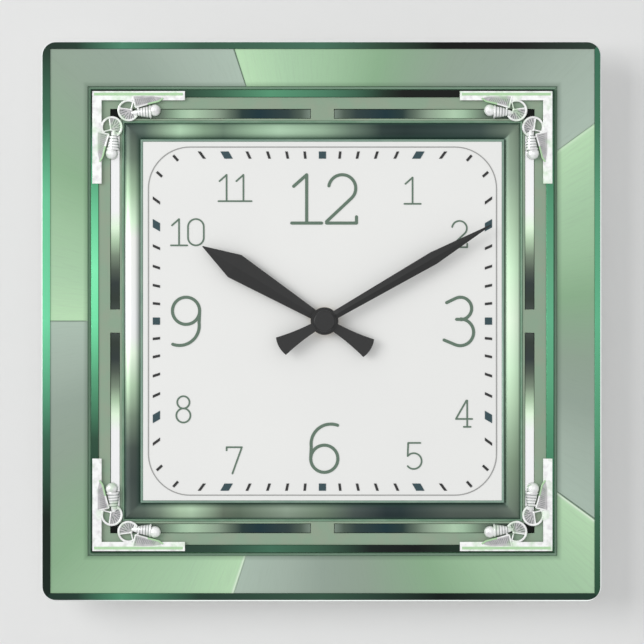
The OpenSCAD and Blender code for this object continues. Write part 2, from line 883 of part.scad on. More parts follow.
module setting_knob() {
    grips = 20;
    disc_d = 0.3;
    disc_end = disc_d + 2.3;
    gear_end = cannon_d + 1.2;
    color("#e4e2da") {
        plate(disc_d, disc_end - disc_d) translate(knob_at) difference() {
            circle(5.5);
            for (k = [0:grips - 1]) translate(polar(5.7, 360 * k / grips)) circle(0.5);
        }
        gear(knob_at, cannon_d, gear_end - cannon_d, knob_teeth,
            gear_module(motion_cd, knob_teeth, motion_teeth),
            meshed(motion_phase, motion_teeth, knob_bearing, knob_teeth));
        arbor(knob_at, [[disc_end, cannon_d, 1.5], [gear_end, pivot_high, knob_pivot_r]]);
    }
}

// Bent strip from one end of the cell bay, through the case's notch, up to the circuit board
module battery_contact(s) {
    x = half_case - case_wall - 0.3;
    t = 0.2;
    blade_half = 5;
    board_reach = 20;
    color(silver) {
        block([s * x - t, cell_z - blade_half], [s * x + t, cell_z + blade_half], 4, 12);
        block([s * x - t, cell_z + blade_half], [s * x + t, board_reach], contact_d, contact_end);
        block([s > 0 ? 22 : -x - t, board_reach - 2], [s > 0 ? x + t : -22, board_reach],
            contact_d, contact_d + 0.3);
    }
}

module battery_contact_positive() { battery_contact(-1); }

module battery_contact_negative() {
    x = half_case - case_wall - 0.5;
    battery_contact(1);
    color(silver) plate(6, 3.2)
        polygon([[x, cell_z + 4.4], [x, cell_z + 4], [x - 1, cell_z], [x, cell_z - 4], [x, cell_z - 4.4],
            [x - 1.3, cell_z]]);
}

// An AA cell, with its button at the left
module battery_cell() {
    start = -24.5;
    button_h = 1.2;
    color("#3c6ea8") translate([0, -cell_d, cell_z - hang_drop]) rotate([0, 90, 0]) {
        translate([0, 0, start]) cylinder(h = 49.2, r = cell_r);
        translate([0, 0, start - button_h]) cylinder(h = button_h, r = 2.75);
    }
}

back_panel();
outer_rim();
band_plate(1);  // band_plate_1
band_plate(2);  // band_plate_2
band_plate(3);  // band_plate_3
band_plate(4);  // band_plate_4
band_plate(5);  // band_plate_5
trim_strip();
slotted_frame();
inlay_bars();
frame_fillet();
inner_moulding();
dial_edge();
dial_plate();
dial_border_line();
minute_dashes();
hour_squares();
hour_numerals();
corner_bracket_top_left();
corner_bracket_top_right();
corner_bracket_bottom_left();
corner_bracket_bottom_right();
rubber_washer();
brass_washer();
hex_nut();
hour_hand();
minute_hand();
hand_cap();
movement_case();
movement_cover();
wall_hanger();
middle_plate();
circuit_board();
driver_chip();
quartz_crystal();
coil_bobbin();
coil_winding();
stator();
rotor();
intermediate_wheel();
seconds_wheel();
third_wheel();
centre_wheel();
minute_arbor();
motion_wheel();
hour_wheel();
setting_knob();
battery_contact_positive();
battery_contact_negative();
battery_cell();
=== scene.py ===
import json
import math

import bmesh
import bpy
from mathutils import Matrix, Vector


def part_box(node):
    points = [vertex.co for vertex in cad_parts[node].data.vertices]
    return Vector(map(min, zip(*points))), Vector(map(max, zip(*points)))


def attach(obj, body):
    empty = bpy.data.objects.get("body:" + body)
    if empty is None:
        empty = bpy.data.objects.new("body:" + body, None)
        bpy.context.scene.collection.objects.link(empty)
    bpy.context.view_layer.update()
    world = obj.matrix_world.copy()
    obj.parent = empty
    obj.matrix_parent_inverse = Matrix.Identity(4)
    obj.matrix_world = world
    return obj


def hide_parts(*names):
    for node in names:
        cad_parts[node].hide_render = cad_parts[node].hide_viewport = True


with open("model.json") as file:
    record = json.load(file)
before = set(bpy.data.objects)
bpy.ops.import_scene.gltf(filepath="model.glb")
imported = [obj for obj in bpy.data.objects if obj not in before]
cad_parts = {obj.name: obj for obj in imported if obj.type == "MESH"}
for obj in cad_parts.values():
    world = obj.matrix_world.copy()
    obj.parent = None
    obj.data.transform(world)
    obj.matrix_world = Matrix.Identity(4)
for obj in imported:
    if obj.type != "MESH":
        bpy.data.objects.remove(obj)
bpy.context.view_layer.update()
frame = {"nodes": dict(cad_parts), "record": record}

mm = 0.001
noiseLow, noiseHigh = 0.3, 0.7  # nearly all of a noise's values lie between these
mergeDistance = 0.001 * mm
cutDistance = 0.0001 * mm
flatAngle = math.radians(0.4)
edgeAngle = math.radians(32)
nodes = frame["nodes"]
bodyOf = {n: b for b, members in frame["record"]["behaviour"]["bodies"].items() for n in members}


def middle(node):
    low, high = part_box(node)
    return (low + high) / 2


def halfWidth(node):
    low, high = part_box(node)
    return (high.x - low.x) / 2


def frontOf(node):
    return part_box(node)[0].y


dialCentre = middle("dial_plate")
dialCentre.y = 0.0
arborCentre = middle("hand_cap")
arborCentre.y = 0.0
faceY = frontOf("back_panel")
print("frame loaded, dial centre", tuple(round(c, 4) for c in dialCentre))


# material helpers
def linear(hexText):
    channels = [int(hexText[i:i + 2], 16) / 255 for i in (1, 3, 5)]
    return tuple(c / 12.92 if c <= 0.04045 else ((c + 0.055) / 1.055) ** 2.4 for c in channels) + (1.0,)


# Adds a node with its settings and links, and gives back one of its outputs. Stops fill a colour ramp
def addNode(tree, kind, inputs, out=0, stops=(), **settings):
    node = tree.nodes.new("ShaderNode" + kind)
    for key, value in settings.items():
        setattr(node, key, value)
    for key, value in inputs.items():
        if isinstance(value, bpy.types.NodeSocket):
            tree.links.new(value, node.inputs[key])
        else:
            node.inputs[key].default_value = linear(value) if isinstance(value, str) else value
    if stops:
        elements = node.color_ramp.elements
        elements.remove(elements[1])
        for position, hexText in stops[1:]:
            elements.new(position).color = linear(hexText)
        elements[0].color = linear(stops[0][1])
    return node.outputs[out] if node.outputs else None


def newMaterial(name):
    material = bpy.data.materials.new(name)
    material.use_nodes = True
    material.node_tree.nodes.clear()
    return material, material.node_tree


def finishMaterial(tree, surface):
    shader = addNode(tree, "BsdfPrincipled", surface)
    addNode(tree, "OutputMaterial", {"Surface": shader})


# Two tints in soft clouds: their size in millimetres, the noise where the second tint starts and
# is full, and its greatest share
def cloudedColour(tree, first, second, size, low=0.0, high=1.0, most=1.0):
    place = addNode(tree, "TexCoord", {}, "Object")
    cloud = addNode(tree, "TexNoise", {"Vector": place, "Scale": 1 / (size * mm), "Detail": 3.0})
    share = addNode(tree, "MapRange", {"Value": cloud, "From Min": low, "From Max": high, "To Max": most})
    return addNode(tree, "Mix", {0: share, 6: first, 7: second}, 2, data_type="RGBA")


# Fine relief: its grain size in millimetres, strength and depth in millimetres
def fineRelief(tree, size, strength, depth, stretch=(1, 1, 1)):
    place = addNode(tree, "TexCoord", {}, "Object")
    stretched = addNode(tree, "Mapping", {"Vector": place, "Scale": stretch})
    grain = addNode(tree, "TexNoise", {"Vector": stretched, "Scale": 1 / (size * mm), "Detail": 2.0})
    return addNode(tree, "Bump", {"Height": grain, "Strength": strength, "Distance": depth * mm})


def cloudedMaterial(name, look, surface):
    material, tree = newMaterial(name)
    colour = cloudedColour(tree, *look["tints"], *look["clouds"])
    finishMaterial(tree, {"Base Color": colour, "Normal": fineRelief(tree, *look["relief"]), **surface})
    return material


# Place from the middle of the dial: across, up, and the half-size of the square through the point
def dialPlace(tree):
    place = addNode(tree, "TexCoord", {}, "Object")
    centred = addNode(tree, "Mapping", {"Vector": place, "Location": -dialCentre})
    x, _, z = addNode(tree, "SeparateXYZ", {"Vector": centred}).node.outputs
    absX = addNode(tree, "Math", {0: x}, operation="ABSOLUTE")
    absZ = addNode(tree, "Math", {0: z}, operation="ABSOLUTE")
    return x, z, addNode(tree, "Math", {0: absX, 1: absZ}, operation="MAXIMUM")


# One colour ramp along each side of a square frame, joined on the mitres. The frames use it for painted
# reflections along their sides
def sidedColour(tree, x, z, half, look):
    across = addNode(tree, "MapRange", {"Value": x, "From Min": -half, "From Max": half})
    down = addNode(tree, "MapRange", {"Value": z, "From Min": half, "From Max": -half})
    side = {name: addNode(tree, "ValToRGB", {"Fac": along}, stops=look[name])
            for name, along in (("top", across), ("bottom", across), ("left", down), ("right", down))}
    upper = addNode(tree, "Math", {0: z, 1: 0.0}, operation="GREATER_THAN")
    rightward = addNode(tree, "Math", {0: x, 1: 0.0}, operation="GREATER_THAN")
    level = addNode(tree, "Mix", {0: upper, 6: side["bottom"], 7: side["top"]}, 2, data_type="RGBA")
    upright = addNode(tree, "Mix", {0: rightward, 6: side["left"], 7: side["right"]}, 2, data_type="RGBA")
    absX = addNode(tree, "Math", {0: x}, operation="ABSOLUTE")
    absZ = addNode(tree, "Math", {0: z}, operation="ABSOLUTE")
    excess = addNode(tree, "Math", {0: absX, 1: absZ}, operation="SUBTRACT")
    soft = look["mitre"] * mm
    sideways = addNode(tree, "MapRange", {"Value": excess, "From Min": -soft, "From Max": soft})
    return addNode(tree, "Mix", {0: sideways, 6: level, 7: upright}, 2, data_type="RGBA")


def mirrored(stops):
    return stops + [(1 - position, colour) for position, colour in reversed(stops)]


# piece helpers
def loadNode(node):
    work = bmesh.new()
    work.from_mesh(nodes[node].data)
    bmesh.ops.remove_doubles(work, verts=work.verts, dist=mergeDistance)
    bmesh.ops.dissolve_limit(work, angle_limit=flatAngle, verts=work.verts, edges=work.edges)
    return work


def bevelEdges(work, edges, width, segments):
    bmesh.ops.bevel(work, geom=edges, offset=width, offset_type="OFFSET", segments=segments, profile=0.5,
                    affect="EDGES", material=-1, clamp_overlap=True)


def addPiece(work, name, node, materials):
    mesh = bpy.data.meshes.new(name)
    for face in work.faces:
        face.smooth = True
    work.to_mesh(mesh)
    work.free()
    for material in materials:
        mesh.materials.append(material)
    piece = bpy.data.objects.new(name, mesh)
    bpy.context.scene.collection.objects.link(piece)
    normals = piece.modifiers.new("faceNormals", "WEIGHTED_NORMAL")
    normals.weight = 100
    normals.keep_sharp = True
    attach(piece, bodyOf[node])
    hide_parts(node)


# A CAD node's shape with its outside edges rounded. Creased edges stay crisp
def softCopy(node, name, material, width, segments=2, shape=None, crease=None):
    work = loadNode(node)
    if shape:
        shape(work)
    outside = [e for e in work.edges if len(e.link_faces) == 2 and e.is_convex
               and e.calc_face_angle(0) > edgeAngle]
    bevelEdges(work, outside, width * mm, segments)
    if crease:
        for edge in work.edges:
            edge.smooth = not crease(edge)
    addPiece(work, name, node, [material])


# A mitre runs at 45 degrees
def onMitre(edge):
    slack, shortest = 0.01 * mm, 0.02 * mm
    along = edge.verts[1].co - edge.verts[0].co
    return abs(abs(along.x) - abs(along.z)) < slack and along.length > shortest


def paint(node, material):
    for slot in nodes[node].material_slots:
        slot.material = material


# back panel: cast acrylic sheet, laser cut and flame polished. It is glassy white. Its edges carry a painted
# glow (emission), strongest on the right and the bottom, in place of light passed on from the lit left side
panelLook = {"tints": ("#f1f2f1", "#f4f5f4"), "clouds": (30,), "relief": (30, 0.05, 0.4),
             "roughness": 0.12, "ior": 1.49, "coat": 0.4, "edge": 0.5,
             "paintedGlow": 0.7, "paintedGlowEdge": 1.6, "paintedGlowFull": 0.5, "paintedGlowColour": "#eef5f0"}
material, tree = newMaterial("whiteAcrylicWithPaintedGlow")
x, z, outward = dialPlace(tree)
panelHalf = halfWidth("back_panel")
away = addNode(tree, "Math", {0: x, 1: z}, operation="SUBTRACT")
glowAwayFromKey = addNode(tree, "MapRange", {"Value": away, "From Min": 0.0,
                                     "From Max": panelHalf * panelLook["paintedGlowFull"]})
glowNearEdge = addNode(tree, "MapRange", {"Value": outward, "From Min": panelHalf - panelLook["paintedGlowEdge"] * mm,
                                      "From Max": panelHalf, "To Max": panelLook["paintedGlow"]})
finishMaterial(tree, {
    "Base Color": cloudedColour(tree, *panelLook["tints"], *panelLook["clouds"]),
    "Normal": fineRelief(tree, *panelLook["relief"]),
    "Roughness": panelLook["roughness"], "IOR": panelLook["ior"], "Coat Weight": panelLook["coat"],
    # painted glow: emission near the edges, growing away from the key light
    "Emission Color": panelLook["paintedGlowColour"],
    "Emission Strength": addNode(tree, "Math", {0: glowAwayFromKey, 1: glowNearEdge}, operation="MULTIPLY")})
softCopy("back_panel", "backPanel", material, panelLook["edge"], segments=3)
print("panel done")


# outer rim: aluminium under polished green lacquer, dark with bright sweeps that are painted reflections,
# brightest on the lit left side
rimLook = {
    "metal": 0.85, "roughness": 0.26, "edge": 0.6, "mitre": 0.01, "relief": (2.5, 0.04, 0.05),
    "top": [(0.0, "#28362f"), (0.06, "#294034"), (0.14, "#4f866b"), (0.28, "#3b5d4b"), (0.5, "#456e59"),
            (0.6, "#324b3b"), (0.71, "#151715"), (0.85, "#1d1c1c"), (1.0, "#2f4137")],
    "bottom": [(0.0, "#243830"), (0.06, "#284036"), (0.14, "#529070"), (0.28, "#294035"), (0.5, "#385646"),
               (0.71, "#131a18"), (0.85, "#24362e"), (1.0, "#243b30")],
    "left": [(0.0, "#29362f"), (0.14, "#43755a"), (0.28, "#6ec799"), (0.5, "#76dba8"), (0.71, "#3e6a53"),
             (0.85, "#202b23"), (1.0, "#1d2a24")],
    "right": [(0.0, "#3b6b55"), (0.14, "#43755a"), (0.28, "#589876"), (0.5, "#60b188"), (0.71, "#549672"),
              (0.85, "#3d6850"), (1.0, "#2c4d39")],
}
material, tree = newMaterial("lacqueredRimAluminium")
x, z, _ = dialPlace(tree)
finishMaterial(tree, {
    "Base Color": sidedColour(tree, x, z, halfWidth("outer_rim"), rimLook),
    "Normal": fineRelief(tree, *rimLook["relief"]),
    "Metallic": rimLook["metal"], "Roughness": rimLook["roughness"]})
softCopy("outer_rim", "outerRim", material, rimLook["edge"], segments=4)
print("rim done")


# band plates: aluminium brushed towards the centre and anodised. Each sweeps from a bright edge to
# a grey one with fine radial streaks. At a plate's first edge lie a painted shade line and a painted
# highlight line, and a painted shadow darkens the band towards the trim
bandLook = {
    "metal": 0.6, "seam": 342, "sector": 72, "edge": 0.12, "lineWidth": 0.6, "litFrom": 0.35, "litTo": 1.5,
    "trimShadowWidth": 2.4, "groove": 0.4, "paintedGrooveColour": "#34503c", "litColour": "#eef7ea",
    "streak": 0.9,  # real brushing is near 0.1 mm, drawn coarser so that it shows
    "streakPerMetre": 60.0, "streakLift": 0.24, "liftColour": "#ffffff", "streakShade": 0.16,
    "shadeFrom": 0.45, "shade": "#5f7460", "roughness": (0.32, 0.5), "relief": (0.12, 0.05),
    # painted shade line and painted highlight line at each seam, for each plate
    "seamShadeAndHighlight": [(0.85, 0.0), (0.1, 0.4), (0.8, 1.0), (0.2, 0.9), (0.55, 0.0)],  # dark and lit, for each plate
    "sweep": [(0.0, "#b7dcb2"), (0.14, "#a6caa5"), (0.28, "#9bbf9a"), (0.42, "#88ac88"), (0.51, "#8aa68b"),
              (0.62, "#8ea08f"), (0.75, "#92a295"), (0.86, "#a0b0a3"), (1.0, "#a9bbad")],
}


def bandMaterial(look, index):
    material, tree = newMaterial(f"brushedAnodisedBand{index + 1}")
    x, z, outward = dialPlace(tree)
    sector = math.radians(look["sector"])
    start = math.radians(look["seam"] - 360) - len(look["seamShadeAndHighlight"]) * sector
    half, inner = halfWidth("outer_rim"), halfWidth("trim_strip")
    turn = addNode(tree, "Math", {0: x, 1: z}, operation="ARCTAN2")
    fromStart = addNode(tree, "Math", {0: turn, 1: start}, operation="SUBTRACT")
    sectors = addNode(tree, "Math", {0: fromStart, 1: sector}, operation="DIVIDE")
    within = addNode(tree, "Math", {0: sectors}, operation="FRACT")
    swept = addNode(tree, "ValToRGB", {"Fac": within}, stops=look["sweep"])
    along = addNode(tree, "Math", {0: turn, 1: half / (look["streak"] * mm)}, operation="MULTIPLY")
    inward = addNode(tree, "Math", {0: outward, 1: look["streakPerMetre"]}, operation="MULTIPLY")
    flat = addNode(tree, "CombineXYZ", {"X": along, "Y": inward})
    streaks = addNode(tree, "TexNoise", {"Vector": flat, "Scale": 1.0, "Detail": 4.0, "Roughness": 0.7})
    lift = addNode(tree, "MapRange", {"Value": streaks, "From Min": noiseLow, "From Max": noiseHigh,
                                      "To Max": look["streakLift"]})
    lifted = addNode(tree, "Mix", {0: lift, 6: swept, 7: look["liftColour"]}, 2, data_type="RGBA",
                     blend_type="SOFT_LIGHT")
    dull = addNode(tree, "MapRange", {"Value": streaks, "From Min": look["shadeFrom"], "From Max": noiseHigh,
                                      "To Max": look["streakShade"]})
    toned = addNode(tree, "Mix", {0: dull, 6: lifted, 7: look["shade"]}, 2, data_type="RGBA")
    reach = sector * half / mm
    dark, lit = look["seamShadeAndHighlight"][index]
    nextDark = look["seamShadeAndHighlight"][(index + 1) % len(look["seamShadeAndHighlight"])][0]
    line = look["lineWidth"] / reach
    # painted shade: a dark line at each seam, over the real gap
    first = addNode(tree, "MapRange", {"Value": within, "From Min": line, "From Max": 0.0, "To Max": dark})
    last = addNode(tree, "MapRange", {"Value": within, "From Min": 1 - line, "To Max": nextDark})
    # painted shadow: the band darkens towards the raised trim
    trimShadow = addNode(tree, "MapRange", {"Value": outward, "From Min": inner + look["trimShadowWidth"] * mm,
                                          "From Max": inner, "To Max": look["groove"]})
    ends = addNode(tree, "Math", {0: first, 1: last}, operation="MAXIMUM")
    shade = addNode(tree, "Math", {0: ends, 1: trimShadow}, operation="MAXIMUM")
    # painted highlight: a lit line beside the seam
    litShare = addNode(tree, "ValToRGB", {"Fac": within}, stops=[
        (0.0, "#000000"), (look["litFrom"] / reach, "#ffffff"), (look["litTo"] / reach, "#000000")])
    litPart = addNode(tree, "Math", {0: litShare, 1: lit}, operation="MULTIPLY")
    shone = addNode(tree, "Mix", {0: litPart, 6: toned, 7: look["litColour"]}, 2, data_type="RGBA")
    low, high = look["roughness"]
    shaded = addNode(tree, "Mix", {0: shade, 6: shone, 7: look["paintedGrooveColour"]}, 2, data_type="RGBA")
    finishMaterial(tree, {
        "Base Color": shaded,
        "Roughness": addNode(tree, "MapRange", {"Value": streaks, "From Min": noiseLow, "From Max": noiseHigh,
                                                "To Min": low, "To Max": high}),
        "Normal": addNode(tree, "Bump", {"Height": streaks, "Strength": look["relief"][0],
                                         "Distance": look["relief"][1] * mm}),
        "Metallic": look["metal"]})
    return material


for index in range(len(bandLook["seamShadeAndHighlight"])):
    plate = index + 1
    softCopy(f"band_plate_{plate}", f"bandPlate{plate}", bandMaterial(bandLook, index), bandLook["edge"])
print("band done")


# trim strip: aluminium under polished lacquer, with painted reflections along each side and a painted
# highlight on its outer chamfer. The groove outside it is satin and given a lighter green, painted
# so it stays mid green in its shade
trimLook = {
    "metal": 0.85, "roughness": 0.25, "edge": 0.1, "groove": 1.2, "chamfer": 0.7, "mitre": 0.01,
    "grooveMetal": 0.1, "paintedGrooveColour": "#7f9d86", "chamferHighlightColour": "#7fb094", "chamferHighlightShare": 0.7,
    "relief": (2.5, 0.04, 0.05),
    "top": [(0.0, "#121413"), (0.12, "#181c19"), (0.2, "#2f473a"), (0.27, "#3b614c"), (0.39, "#569371"),
            (0.5, "#4b7d62"), (0.57, "#3c634e"), (0.63, "#24352a"), (0.67, "#1b1e1b"), (0.77, "#191c1a"),
            (1.0, "#161817")],
    "bottom": [(0.0, "#1b211d"), (0.15, "#2a3e35"), (0.27, "#314b3d"), (0.39, "#436f58"), (0.5, "#395a47"),
               (0.6, "#1d2522"), (0.7, "#171a19"), (0.78, "#203126"), (1.0, "#20271f")],
    "left": [(0.0, "#121413"), (0.07, "#1d2a24"), (0.15, "#4c8c6a"), (0.27, "#6ec998"), (0.39, "#85eeb5"),
             (0.5, "#78e4aa"), (0.62, "#5aa47b"), (0.75, "#345341"), (1.0, "#1f2a24")],
    "right": [(0.0, "#2b3f35"), (0.27, "#569975"), (0.39, "#61a680"), (0.5, "#62ae87"), (0.62, "#5ca67e"),
              (0.75, "#4f8f6c"), (1.0, "#31543e")],
}
material, tree = newMaterial("lacqueredTrimAluminium")
x, z, outward = dialPlace(tree)
grooveEdge = halfWidth("trim_strip") - trimLook["groove"] * mm
chamferEdge = grooveEdge - trimLook["chamfer"] * mm
sides = sidedColour(tree, x, z, halfWidth("trim_strip"), trimLook)
# painted highlight on the chamfer
lit = addNode(tree, "Mix", {0: trimLook["chamferHighlightShare"], 6: sides, 7: trimLook["chamferHighlightColour"]}, 2,
              data_type="RGBA")
onChamfer = addNode(tree, "Math", {0: outward, 1: chamferEdge}, operation="GREATER_THAN")
chamfered = addNode(tree, "Mix", {0: onChamfer, 6: sides, 7: lit}, 2, data_type="RGBA")
inGroove = addNode(tree, "Math", {0: outward, 1: grooveEdge}, operation="GREATER_THAN")
grooved = addNode(tree, "Mix", {0: inGroove, 6: chamfered, 7: trimLook["paintedGrooveColour"]}, 2, data_type="RGBA")
finishMaterial(tree, {
    "Base Color": grooved,
    "Metallic": addNode(tree, "MapRange", {"Value": inGroove, "To Min": trimLook["metal"],
                                           "To Max": trimLook["grooveMetal"]}),
    "Normal": fineRelief(tree, *trimLook["relief"]), "Roughness": trimLook["roughness"]})
softCopy("trim_strip", "trimStrip", material, trimLook["edge"], crease=onMitre)


# slotted frame: aluminium with a flat sprayed sage lacquer, faintly mottled
frameLook = {"tints": ("#88a189", "#8e9f89"), "clouds": (9, 0.4, 0.65), "relief": (0.6, 0.08, 0.03),
             "metal": 0.1, "roughness": 0.45, "edge": 0.15}
material = cloudedMaterial("sprayedSageLacquer", frameLook, {
    "Metallic": frameLook["metal"], "Roughness": frameLook["roughness"]})
softCopy("slotted_frame", "slottedFrame", material, frameLook["edge"])


# inlay bars: polished aluminium with painted reflections, which run from black to white along each side
flatBar = mirrored([
    (0.0, "#0f110f"), (0.03, "#141a17"), (0.06, "#3a443c"), (0.12, "#687869"), (0.145, "#87a088"),
    (0.168, "#a2bfa3"), (0.19, "#adc9ac"), (0.21, "#a1bba0"), (0.25, "#8b9e8a"), (0.28, "#607062"),
    (0.31, "#2a3c3a"), (0.35, "#1f353b"), (0.42, "#324140"), (0.45, "#4f5d53"), (0.475, "#7d8c80")])
uprightBar = mirrored([
    (0.0, "#0f110f"), (0.035, "#151a17"), (0.055, "#f0f0f0"), (0.24, "#f1f1f1"), (0.28, "#dff5d9"),
    (0.31, "#b0caab"), (0.345, "#7a8a77"), (0.38, "#525c52"), (0.41, "#363e3d"), (0.45, "#363e38"),
    (0.475, "#454d48")])
barLook = {"metal": 0.85, "roughness": 0.22, "edge": 0.15, "mitre": 0.01, "relief": (3, 0.03, 0.05),
           "top": flatBar, "bottom": flatBar, "left": uprightBar, "right": uprightBar}
material, tree = newMaterial("polishedInlayAluminium")
x, z, _ = dialPlace(tree)
finishMaterial(tree, {
    "Base Color": sidedColour(tree, x, z, halfWidth("inlay_bars"), barLook),
    "Normal": fineRelief(tree, *barLook["relief"]),
    "Metallic": barLook["metal"], "Roughness": barLook["roughness"]})
softCopy("inlay_bars", "inlayBars", material, barLook["edge"])


# fillet and dial edge: aluminium under satin lacquer, which scatters light softly
filletLook = {"tints": ("#6c9076", "#9db39f"), "clouds": (7, 0.35, 0.7, 0.3), "relief": (0.8, 0.05, 0.03),
              "metal": 0.2, "roughness": 0.35, "edge": 0.08}
dialEdgeLook = {**filletLook, "tints": ("#789485", "#9db39f"), "roughness": 0.3}
for node, name, look, crease in (("frame_fillet", "frameFillet", filletLook, onMitre),
                                 ("dial_edge", "dialEdge", dialEdgeLook, None)):
    material = cloudedMaterial(name + "SatinLacquer", look, {
        "Metallic": look["metal"], "Roughness": look["roughness"]})
    softCopy(node, name, material, look["edge"], crease=crease)


# inner moulding: convex aluminium, polished and lacquered, with painted reflections along each side,
# brightest on the left. A painted shadow darkens it beside the dial, and painted shade its outer flank
mouldingLook = {
    "metal": 0.5, "roughness": 0.42, "edge": 0.05, "mitre": 1.2, "relief": (3, 0.03, 0.05),
    "innerShade": (2.6, 0.7), "outerShade": (1.3, 0.75), "shadeColour": "#2f4f45",
    "top": [(0.0, "#3f4b47"), (0.05, "#55685d"), (0.09, "#849c85"), (0.14, "#b0d1b1"), (0.2, "#84a085"),
            (0.25, "#6c8470"), (0.33, "#98b79a"), (0.39, "#adcdaf"), (0.5, "#93b095"), (0.57, "#687e6d"),
            (0.65, "#283a36"), (0.71, "#1e312f"), (0.82, "#2e423d"), (0.9, "#394b46"), (1.0, "#748574")],
    "bottom": [(0.0, "#4a554e"), (0.05, "#58675c"), (0.09, "#788a78"), (0.14, "#aac4a6"), (0.17, "#b2cdaf"),
               (0.25, "#667463"), (0.29, "#60715f"), (0.41, "#8d9f8c"), (0.5, "#728571"), (0.58, "#485450"),
               (0.66, "#213133"), (0.7, "#203233"), (0.82, "#505c54"), (0.94, "#556158"), (1.0, "#6c7a6d")],
    "left": [(0.0, "#3f4b46"), (0.09, "#697b6a"), (0.17, "#a1bd9e"), (0.25, "#d9f3d5"), (0.29, "#f1f2ed"),
             (0.5, "#f1f2f2"), (0.54, "#eff1ee"), (0.58, "#e6f6e0"), (0.66, "#b0cbac"), (0.74, "#758874"),
             (0.82, "#434f48"), (0.9, "#3b4743"), (1.0, "#4a564f")],
    "right": [(0.0, "#7a8b79"), (0.13, "#90a690"), (0.25, "#b4d0b1"), (0.37, "#d4f3d1"), (0.5, "#e6fae0"),
              (0.62, "#d2f0cf"), (0.7, "#bedbba"), (0.78, "#9fb99c"), (0.86, "#82987f"), (1.0, "#687669")],
}
material, tree = newMaterial("polishedMouldingAluminium")
x, z, outward = dialPlace(tree)
mouldingHalf, dialHalf = halfWidth("inner_moulding"), halfWidth("dial_edge")
sides = sidedColour(tree, x, z, mouldingHalf, mouldingLook)
width, most = mouldingLook["innerShade"]
dialShadow = addNode(tree, "MapRange", {
    "Value": outward, "From Min": dialHalf + width * mm, "From Max": dialHalf, "To Max": most})
width, most = mouldingLook["outerShade"]
flankShade = addNode(tree, "MapRange", {
    "Value": outward, "From Min": mouldingHalf - width * mm, "From Max": mouldingHalf, "To Max": most})
shade = addNode(tree, "Math", {0: dialShadow, 1: flankShade}, operation="MAXIMUM")
shaded = addNode(tree, "Mix", {0: shade, 6: sides, 7: mouldingLook["shadeColour"]}, 2, data_type="RGBA")
finishMaterial(tree, {
    "Base Color": shaded,
    "Normal": fineRelief(tree, *mouldingLook["relief"]),
    "Metallic": mouldingLook["metal"], "Roughness": mouldingLook["roughness"]})
softCopy("inner_moulding", "innerMoulding", material, mouldingLook["edge"], crease=onMitre)
print("frames done")


# dial: satin white sheet, which is even and almost without gloss
dialLook = {"tints": ("#e6e6e4", "#ecece9"), "clouds": (60,), "relief": (0.5, 0.04, 0.02),
            "roughness": 0.5, "edge": 0.15}
material = cloudedMaterial("satinDialSheet", dialLook, {"Roughness": dialLook["roughness"]})
softCopy("dial_plate", "dialPlate", material, dialLook["edge"])

# screen-printed inks, each a matte film that is thinner in places
inkLook = {
    "clouds": (0.7, 0.5, 0.8, 0.35), "relief": (0.7, 0.1, 0.02), "roughness": 0.55,
    "inks": {"hour_numerals": ("numeralInk", "#5c7262", "#748678"),
             "hour_squares": ("tealSquareInk", "#27434a", "#3f5a5a"),
             "minute_dashes": ("blackDashInk", "#232323", "#3a3a3a"),
             "dial_border_line": ("greyLineInk", "#9a9a98", "#a8a8a6")},
}
for node, (name, colour, thin) in inkLook["inks"].items():
    look = {**inkLook, "tints": (colour, thin)}
    paint(node, cloudedMaterial(name, look, {"Roughness": look["roughness"]}))
print("dial done")


# hands: stamped aluminium, sprayed matte black, with a fold along the middle that parts light from
# shade. A step is millimetres from the arbor and a share of the fold's height
handLook = {
    "tints": ("#1b1b1b", "#272726"), "clouds": (1.5, 0.55, 0.8, 0.4), "relief": (0.25, 0.12, 0.02),
    "roughness": 0.34, "edge": 0.08, "creaseAngle": 2, "hubReach": 15, "tolerance": 0.001,
    "minute": {"fold": 0.9, "steps": [(8, 0.7), (30, 1.0), (61, 0.9)]},
    "hour": {"fold": 0.8, "steps": [(8, 0.6), (51, 1.0)]},
    "capEdge": 0.55,
}
blackPaint = cloudedMaterial("sprayedBlackAluminium", handLook, {"Roughness": handLook["roughness"]})


def cutAcross(work, at, normal):
    everything = work.verts[:] + work.edges[:] + work.faces[:]
    bmesh.ops.bisect_plane(work, geom=everything, plane_co=at, plane_no=normal, dist=cutDistance)


# Splits the blade along and across, and lifts the middle line at each step
def foldBlade(fold, steps):
    near = handLook["tolerance"] * mm

    def shape(work):
        tip = max(work.verts, key=lambda v: (v.co - arborCentre).xz.length).co.copy()
        along = Vector((tip.x - arborCentre.x, 0, tip.z - arborCentre.z)).normalized()
        aside = Vector((along.z, 0, -along.x))
        front = min(v.co.y for v in work.verts
                    if (v.co - arborCentre).xz.length > handLook["hubReach"] * mm)
        cutAcross(work, arborCentre, aside)
        for distance, share in steps:
            cutAcross(work, arborCentre + along * distance * mm, along)
        onAxis = [v for v in work.verts if abs((v.co - arborCentre).dot(aside)) < near
                  and abs(v.co.y - front) < near]
        for vert in onAxis:
            for distance, share in steps:
                if abs((vert.co - arborCentre).dot(along) - distance * mm) < near:
                    vert.co.y -= fold * share * mm
    return shape


def onCrease(edge):
    return edge.calc_face_angle(0) > math.radians(handLook["creaseAngle"])


for name in ("minute", "hour"):
    shape = foldBlade(handLook[name]["fold"], handLook[name]["steps"])
    softCopy(name + "_hand", name + "Hand", blackPaint, handLook["edge"], segments=1, shape=shape,
             crease=onCrease)
softCopy("hand_cap", "handCap", blackPaint, handLook["capEdge"], segments=4)
print("hands done")


